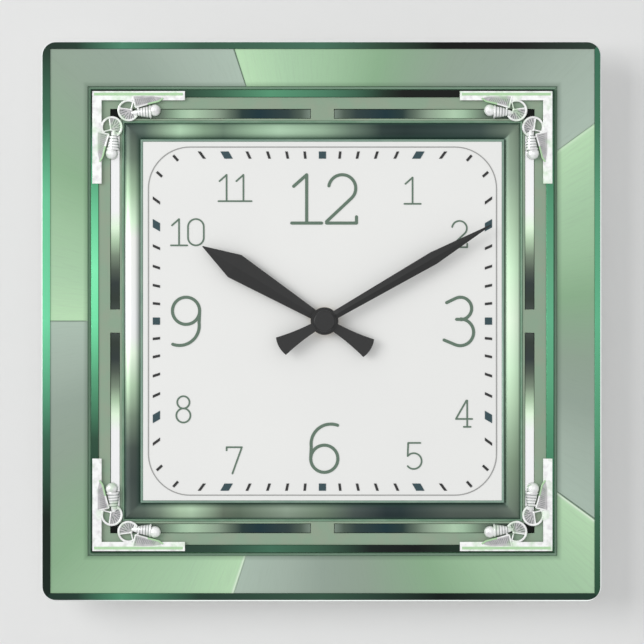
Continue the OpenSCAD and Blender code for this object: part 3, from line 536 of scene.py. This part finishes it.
# corner brackets: white metal castings, silver plated, with pale green enamel in the hollows. The
# motif's places are millimetres from the middle of the dial, for the top right corner
bracketLook = {
    "wheelAt": (94.3, 102.4), "wheelRadius": 4.8, "wheelRim": 0.58, "wheelLift": 0.7,
    "hubAt": (93.0, 102.8), "hub": 0.7, "hubOver": 0.2,
    "spokes": (8, 104, 240), "spoke": 0.36, "spokeOver": 0.1,
    "lobe": (-139, 16), "lobeStep": 5, "lobeHeight": 0.55, "hatches": 9, "hatch": 0.16,
    "hatchFrom": (0.6, 0.35),
    "podFrom": (92.7, 101.2), "podTo": (83.6, 101.7), "podLift": 1.1,
    "podRibs": (0.3, 0.45, 0.6, 0.75, 0.9), "rib": 0.14,
    "podWidths": [(0.0, 0.6), (0.2, 1.3), (0.5, 2.1), (0.75, 2.6), (1.0, 2.85)],
    "ballAt": (81.4, 102.4), "ball": 2.85, "ballLift": 1.6, "cuff": 0.45,
    "leaf": [(92.0, 109.2), (90.8, 103.8), (84.9, 105.5), (79.6, 106.8), (77.4, 108.3), (82.0, 109.2)],
    "veins": 12, "vein": 0.11, "veinSpan": (0.2, 0.75), "leafTop": 1.6, "leafStem": 0.34, "leafRim": 0.42,
    "strip": 4.5, "arm": 45.0, "stripHeight": 1.0, "stripe": (0.8, 2.2), "stripeStart": 1,
    "stripeSunk": 0.2, "stripeProud": 0.1, "edge": 0.22, "flatten": 0.78, "sharpAngle": 40,
    "latheSteps": 28, "ringCorners": 8, "merge": 0.0001,
}
silverLook = {
    "castSilverPlate": {"tints": ("#fbfcfa", "#d3ced2"), "enamel": "#d0efca", "roughness": 0.28},
    "etchedSilverPlate": {"tints": ("#c4c2c3", "#9b979e"), "enamel": "#b4d4ae", "roughness": 0.5},
    "oxidisedSilverGroove": {"tints": ("#6d7872", "#59625e"), "enamel": "#6f8a74", "roughness": 0.5},
    "metal": 0.4, "clouds": (3, 0.45, 0.7, 0.7), "bloom": (6, 0.52, 0.7, 0.6), "relief": (1.2, 0.12, 0.06),
}


def silverMaterial(name):
    look = silverLook[name]
    material, tree = newMaterial(name)
    plate = cloudedColour(tree, *look["tints"], *silverLook["clouds"])
    colour = cloudedColour(tree, plate, look["enamel"], *silverLook["bloom"])
    finishMaterial(tree, {"Base Color": colour, "Normal": fineRelief(tree, *silverLook["relief"]),
                          "Metallic": silverLook["metal"], "Roughness": look["roughness"]})
    return material


# fired enamel is glassy, with an even tint
enamelLook = {"tints": ("#a4cf9b", "#b9ddb0"), "clouds": (4,), "relief": (1.2, 0.05, 0.03),
              "roughness": 0.2, "coat": 0.4}
enamel = cloudedMaterial("paleGreenEnamel", enamelLook, {
    "Roughness": enamelLook["roughness"], "Coat Weight": enamelLook["coat"]})
bracketMaterials = [silverMaterial("castSilverPlate"), silverMaterial("etchedSilverPlate"), enamel,
                    silverMaterial("oxidisedSilverGroove")]
bright, etched, green, dark = range(4)


def setMaterial(made, index):
    for face in {f for vert in made for f in vert.link_faces}:
        face.material_index = index


# Points are (x, z) in millimetres, and a depth is in front of the panel
def placed(point, depth):
    return Vector((point[0], -depth, point[1]))


def facing(place, heading):
    return Matrix.Translation(place) @ Vector(heading).to_track_quat("Z", "Y").to_matrix().to_4x4()


def addBar(work, start, end, depth, radius, index=bright, segments=8):
    a, b = placed(start, depth), placed(end, depth)
    made = bmesh.ops.create_cone(work, cap_ends=True, cap_tris=False, segments=segments, radius1=radius,
                                 radius2=radius, depth=(b - a).length, matrix=facing((a + b) / 2, b - a))
    setMaterial(made["verts"], index)


def addBall(work, centre, depth, radius):
    made = bmesh.ops.create_uvsphere(work, u_segments=20, v_segments=12, radius=radius,
                                     matrix=Matrix.Translation(placed(centre, depth)))
    setMaterial(made["verts"], bright)


# Spins an outline of (radius, height) points round an axis through the centre
def addLathe(work, outline, centre, depth, heading, closed, index):
    before = set(work.verts)
    section = [work.verts.new((radius, 0, height)) for radius, height in outline]
    pairs = list(zip(section, section[1:])) + ([(section[-1], section[0])] if closed else [])
    edges = [work.edges.new(pair) for pair in pairs]
    bmesh.ops.spin(work, geom=section + edges, cent=(0, 0, 0), axis=(0, 0, 1), dvec=(0, 0, 0),
                   angle=math.tau, steps=bracketLook["latheSteps"], use_merge=True,
                   use_normal_flip=False, use_duplicate=False)
    made = [v for v in work.verts if v not in before]
    bmesh.ops.remove_doubles(work, verts=made, dist=bracketLook["merge"])
    made = [v for v in work.verts if v not in before]
    bmesh.ops.transform(work, matrix=facing(placed(centre, depth), heading), verts=made)
    setMaterial(made, index)


def addRing(work, centre, depth, radius, thick, heading=(0, -1, 0), index=bright):
    count = bracketLook["ringCorners"]
    corners = [math.tau * k / count for k in range(count)]
    outline = [(radius + thick * math.cos(a), thick * math.sin(a)) for a in corners]
    addLathe(work, outline, centre, depth, heading, True, index)


def addPlate(work, outline, low, high, index=bright):
    corners = [work.verts.new(placed(point, low)) for point in outline]
    pushed = bmesh.ops.extrude_face_region(work, geom=[work.faces.new(corners)])
    top = [v for v in pushed["geom"] if isinstance(v, bmesh.types.BMVert)]
    bmesh.ops.translate(work, verts=top, vec=(0, low - high, 0))
    if work.faces.get(corners) is None:
        work.faces.new(corners)
    setMaterial(corners + top, index)


def polar(centre, radius, degrees):
    angle = math.radians(degrees)
    return centre[0] + radius * math.cos(angle), centre[1] + radius * math.sin(angle)


# Where a ray from the hub meets the wheel's rim
def onRim(look, degrees):
    hub, centre, radius = Vector(look["hubAt"]), Vector(look["wheelAt"]), look["wheelRadius"]
    ray = Vector((math.cos(math.radians(degrees)), math.sin(math.radians(degrees))))
    offset = hub - centre
    along = -offset.dot(ray) + math.sqrt(offset.dot(ray) ** 2 - offset.length_squared + radius ** 2)
    return tuple(hub + along * ray)


# An open wheel with a hatched lobe
def addWheel(work, look, base):
    hub, wheel, radius = look["hubAt"], look["wheelAt"], look["wheelRadius"]
    lift, top = base + look["wheelLift"], base + look["lobeHeight"]
    addRing(work, wheel, lift, radius, look["wheelRim"])
    start, end = look["lobe"]
    arc = [polar(wheel, radius, degrees) for degrees in range(start, end + 1, look["lobeStep"])]
    addPlate(work, [hub] + arc, base, top, etched)
    for degrees in look["spokes"]:
        addBar(work, hub, onRim(look, degrees), lift + look["spokeOver"], look["spoke"])
    first, last = look["spokes"][2] - 360, look["spokes"][0]
    for k in range(1, look["hatches"]):
        rim = onRim(look, first + (last - first) * k / look["hatches"])
        inner = tuple(Vector(hub).lerp(Vector(rim), look["hatchFrom"][k % 2]))
        addBar(work, inner, rim, top, look["hatch"], dark, segments=6)
    addBall(work, hub, lift + look["hubOver"], look["hub"])


# A ribbed pod with a ball in its mouth
def addPod(work, look, base):
    start, end = Vector(look["podFrom"]), Vector(look["podTo"])
    heading = (end.x - start.x, 0, end.y - start.y)
    length = (end - start).length
    lift = base + look["podLift"]
    outline = [(0, 0)] + [(width, share * length) for share, width in look["podWidths"]] + [(0, length)]
    addLathe(work, outline, start, lift, heading, False, bright)
    for share in look["podRibs"]:
        before = [w for w in look["podWidths"] if w[0] <= share][-1]
        after = [w for w in look["podWidths"] if w[0] > share][0]
        wide = before[1] + (after[1] - before[1]) * (share - before[0]) / (after[0] - before[0])
        addRing(work, start.lerp(end, share), lift, wide, look["rib"], heading, dark)
    addRing(work, end, lift, look["podWidths"][-1][1], look["cuff"], heading)
    addBall(work, look["ballAt"], base + look["ballLift"], look["ball"])


# A veined leaf between the pod and the strip
def addLeaf(work, look, base):
    outline = [Vector(point) for point in look["leaf"]]
    top = base + look["leafTop"]
    near, far = look["veinSpan"]
    addPlate(work, look["leaf"], base, top, etched)
    for k in range(1, look["veins"]):
        low = outline[1].lerp(outline[3], k / look["veins"])
        high = outline[0].lerp(outline[5], k / look["veins"])
        addBar(work, tuple(low.lerp(high, near)), tuple(low.lerp(high, far)), top, look["vein"], dark,
               segments=6)
    addBar(work, look["leaf"][0], look["leaf"][1], top, look["leafStem"])
    for k in range(1, 4):
        addBar(work, look["leaf"][k], look["leaf"][k + 1], top, look["leafRim"], bright if k == 1 else green)


# The wheel, pod and leaf, and their mirror image across the corner's diagonal
def bracketMotifs(look, base):
    work = bmesh.new()
    addWheel(work, look, base)
    addPod(work, look, base)
    addLeaf(work, look, base)
    twin = bmesh.ops.duplicate(work, geom=work.verts[:] + work.edges[:] + work.faces[:])
    swap = Matrix(((0, 0, 1, 0), (0, 1, 0, 0), (1, 0, 0, 0), (0, 0, 0, 1)))
    copied = [v for v in twin["geom"] if isinstance(v, bmesh.types.BMVert)]
    bmesh.ops.transform(work, matrix=swap, verts=copied)
    for vert in work.verts:
        vert.co.y = min(-base + (vert.co.y + base) * look["flatten"], -base)
    return work


# The L-shaped strip on the frame, with a stripe of enamel along its upper arm
def addStrip(work, look, corner, base):
    arm, inner = corner - look["arm"], corner - look["strip"]
    near, far = corner - look["stripe"][0], corner - look["stripe"][1]
    start = arm + look["stripeStart"]
    top = base + look["stripHeight"]
    strip = bmesh.new()
    addPlate(strip, [(arm, corner), (corner, corner), (corner, arm), (inner, arm), (inner, inner),
                     (arm, inner)], base, top)
    addPlate(strip, [(start, near), (near, near), (near, far), (start, far)],
             top - look["stripeSunk"], top + look["stripeProud"], green)
    bmesh.ops.recalc_face_normals(strip, faces=strip.faces)
    bevelEdges(strip, [e for e in strip.edges if e.calc_face_angle(0) > edgeAngle], look["edge"], segments=2)
    mesh = bpy.data.meshes.new("strip")
    strip.to_mesh(mesh)
    strip.free()
    work.from_mesh(mesh)
    bpy.data.meshes.remove(mesh)


def buildBracket(sideX, sideZ, node, name):
    low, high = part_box(node)
    corner = max(abs(low.x - dialCentre.x), abs(high.x - dialCentre.x)) / mm
    base = (frontOf("back_panel") - frontOf("trim_strip")) / mm
    work = bracketMotifs(bracketLook, base)
    addStrip(work, bracketLook, corner, base)
    bmesh.ops.scale(work, vec=(sideX * mm, mm, sideZ * mm), verts=work.verts)
    bmesh.ops.translate(work, vec=(dialCentre.x, faceY, dialCentre.z), verts=work.verts)
    bmesh.ops.recalc_face_normals(work, faces=work.faces)
    for edge in work.edges:
        edge.smooth = edge.calc_face_angle(0) < math.radians(bracketLook["sharpAngle"])
    addPiece(work, name, node, bracketMaterials)


for sideX, sideZ, upDown, side in ((-1, 1, "top", "left"), (1, 1, "top", "right"),
                                   (-1, -1, "bottom", "left"), (1, -1, "bottom", "right")):
    name = "cornerBracket" + upDown.title() + side.title()
    buildBracket(sideX, sideZ, f"corner_bracket_{upDown}_{side}", name)
print("brackets done")


# movement plastics: injection moulded, with a fine spark-eroded grain that dulls the gloss
plasticLook = {
    "clouds": (12,), "relief": (0.5, 0.2, 0.04), "ior": 1.53,
    "mouldedBlackAbs": ("#222426", "#2b2d30", 0.5),
    "mouldedIvoryAcetal": ("#e4e2da", "#dad8ce", 0.42),
    "solderMaskGreen": ("#2f6b43", "#27603a", 0.3),
    "mouldedBlackRubber": ("#1c1c1c", "#262626", 0.75),
}
# movement metals: turned, stamped or drawn, with fine tool marks and a patchy tarnish
metalLook = {
    "relief": (0.3, 0.1, 0.02, (1, 1, 6)),
    "turnedBrass": ("#d2ab5c", "#a8843f", 0.3, 2),
    "zincPlatedSteel": ("#c3c8cc", "#9ea5a9", 0.36, 3),
    "enamelledCopperWire": ("#b0622f", "#8c4721", 0.38, 0.6),
    "sinteredMagnet": ("#5a5e63", "#3f4347", 0.52, 0.8),
}


def plasticMaterial(name):
    first, second, roughness = plasticLook[name]
    look = {**plasticLook, "tints": (first, second)}
    return cloudedMaterial(name, look, {"Roughness": roughness, "IOR": plasticLook["ior"]})


def metalMaterial(name):
    first, second, roughness, patch = metalLook[name]
    look = {**metalLook, "tints": (first, second), "clouds": (patch, 0.4, 0.75)}
    return cloudedMaterial(name, look, {"Roughness": roughness, "Metallic": 1.0})


blackAbs, ivoryAcetal = plasticMaterial("mouldedBlackAbs"), plasticMaterial("mouldedIvoryAcetal")
brass, zincSteel = metalMaterial("turnedBrass"), metalMaterial("zincPlatedSteel")
roundedLook = {  # name, material and width of the rounded edges in millimetres
    "movement_case": ("movementCase", blackAbs, 0.3), "movement_cover": ("movementCover", blackAbs, 0.15),
    "wall_hanger": ("wallHanger", zincSteel, 0.12), "setting_knob": ("settingKnob", ivoryAcetal, 0.12),
    "hex_nut": ("hexNut", brass, 0.2), "brass_washer": ("brassWasher", brass, 0.12),
    "rubber_washer": ("rubberWasher", plasticMaterial("mouldedBlackRubber"), 0.12),
}
for node, (name, material, edge) in roundedLook.items():
    softCopy(node, name, material, edge)
for node in ("centre_wheel", "motion_wheel", "hour_wheel", "third_wheel", "seconds_wheel",
             "intermediate_wheel"):
    paint(node, brass)
for node in ("stator", "minute_arbor", "battery_contact_positive", "battery_contact_negative",
             "quartz_crystal"):
    paint(node, zincSteel)
for node in ("middle_plate", "coil_bobbin"):
    paint(node, ivoryAcetal)
paint("circuit_board", plasticMaterial("solderMaskGreen"))
paint("driver_chip", blackAbs)
paint("coil_winding", metalMaterial("enamelledCopperWire"))
paint("rotor", metalMaterial("sinteredMagnet"))


# cell: steel can in a printed shrink sleeve, glossy over a plain band, with bare crimped ends
cellLook = {"sleeve": "#2f6fae", "band": "#d9dde0", "bandLength": 14, "metal": 0.3, "roughness": 0.25,
            "coat": 0.4, "relief": (4, 0.05, 0.05), "edge": 0.6}
material, tree = newMaterial("sleevedSteelCan")
place = addNode(tree, "TexCoord", {}, "Object")
along = addNode(tree, "SeparateXYZ", {"Vector": place})
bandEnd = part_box("battery_cell")[0].x + cellLook["bandLength"] * mm
banded = addNode(tree, "Math", {0: along, 1: bandEnd}, operation="LESS_THAN")
printed = addNode(tree, "Mix", {0: banded, 6: cellLook["sleeve"], 7: cellLook["band"]}, 2, data_type="RGBA")
finishMaterial(tree, {
    "Base Color": printed,
    "Normal": fineRelief(tree, *cellLook["relief"]),
    "Metallic": cellLook["metal"], "Roughness": cellLook["roughness"], "Coat Weight": cellLook["coat"]})
softCopy("battery_cell", "batteryCell", material, cellLook["edge"], segments=3)
print("movement done")


# stage: a plain wall that the clock hangs on. Seen from behind it is clear. Half its width is in
# metres, and its gap behind the clock in millimetres
stageLook = {
    "wall": "#e2e2e1", "roughness": 0.9, "half": 0.2, "gap": 0.2, "world": 0.74, "worldColour": "#f4f5f6",
    "lights": {"key": ((-2.3, -2.1, 0.8), 1.9, 48.0), "frontFill": ((0.3, -2.6, 0.3), 1.8, 4.0),
               "backFill": ((0.8, 1.6, 0.7), 1.2, 12.0)},  # place in metres, size in metres, watts
}
material, tree = newMaterial("paintedWall")
plaster = addNode(tree, "BsdfPrincipled", {"Base Color": stageLook["wall"],
                                           "Roughness": stageLook["roughness"]})
behind = addNode(tree, "NewGeometry", {}, "Backfacing")
shadowRay = addNode(tree, "LightPath", {}, "Is Shadow Ray")
hidden = addNode(tree, "Math", {0: behind, 1: shadowRay}, operation="MAXIMUM")
clear = addNode(tree, "BsdfTransparent", {})
addNode(tree, "OutputMaterial", {"Surface": addNode(tree, "MixShader", {0: hidden, 1: plaster, 2: clear})})
work = bmesh.new()
bmesh.ops.create_grid(work, x_segments=1, y_segments=1, size=stageLook["half"])
bmesh.ops.rotate(work, verts=work.verts, cent=(0, 0, 0), matrix=Matrix.Rotation(math.pi / 2, 3, "X"))
bmesh.ops.translate(work, verts=work.verts, vec=(dialCentre.x, stageLook["gap"] * mm, dialCentre.z))
mesh = bpy.data.meshes.new("wall")
work.to_mesh(mesh)
work.free()
mesh.materials.append(material)
wall = bpy.data.objects.new("wall", mesh)
bpy.context.scene.collection.objects.link(wall)

world = bpy.data.worlds.new("studio")
bpy.context.scene.world = world
world.use_nodes = True
background = world.node_tree.nodes["Background"]
background.inputs["Color"].default_value = linear(stageLook["worldColour"])
background.inputs["Strength"].default_value = stageLook["world"]

for name, (at, size, power) in stageLook["lights"].items():
    light = bpy.data.lights.new(name, "AREA")
    light.shape = "SQUARE"
    light.size = size
    light.energy = power
    holder = bpy.data.objects.new(name, light)
    holder.location = Vector(at) + dialCentre
    holder.rotation_euler = (dialCentre - holder.location).to_track_quat("-Z", "Y").to_euler()
    bpy.context.scene.collection.objects.link(holder)

# camera: straight in front, and every length is in millimetres
cameraLook = {"lens": 150, "sensor": 36, "frameWidth": 314.0, "left": 0.2, "drop": 0.44}
camera = bpy.data.cameras.new("camera")
camera.lens = cameraLook["lens"]
camera.sensor_width = cameraLook["sensor"]
holder = bpy.data.objects.new("camera", camera)
away = cameraLook["frameWidth"] * mm * cameraLook["lens"] / cameraLook["sensor"]
holder.location = (dialCentre.x - cameraLook["left"] * mm, faceY - away,
                   dialCentre.z - cameraLook["drop"] * mm)
holder.rotation_euler = (math.pi / 2, 0, 0)
bpy.context.scene.collection.objects.link(holder)
bpy.context.scene.camera = holder
bpy.context.scene.view_settings.view_transform = "Standard"
print("stage done")
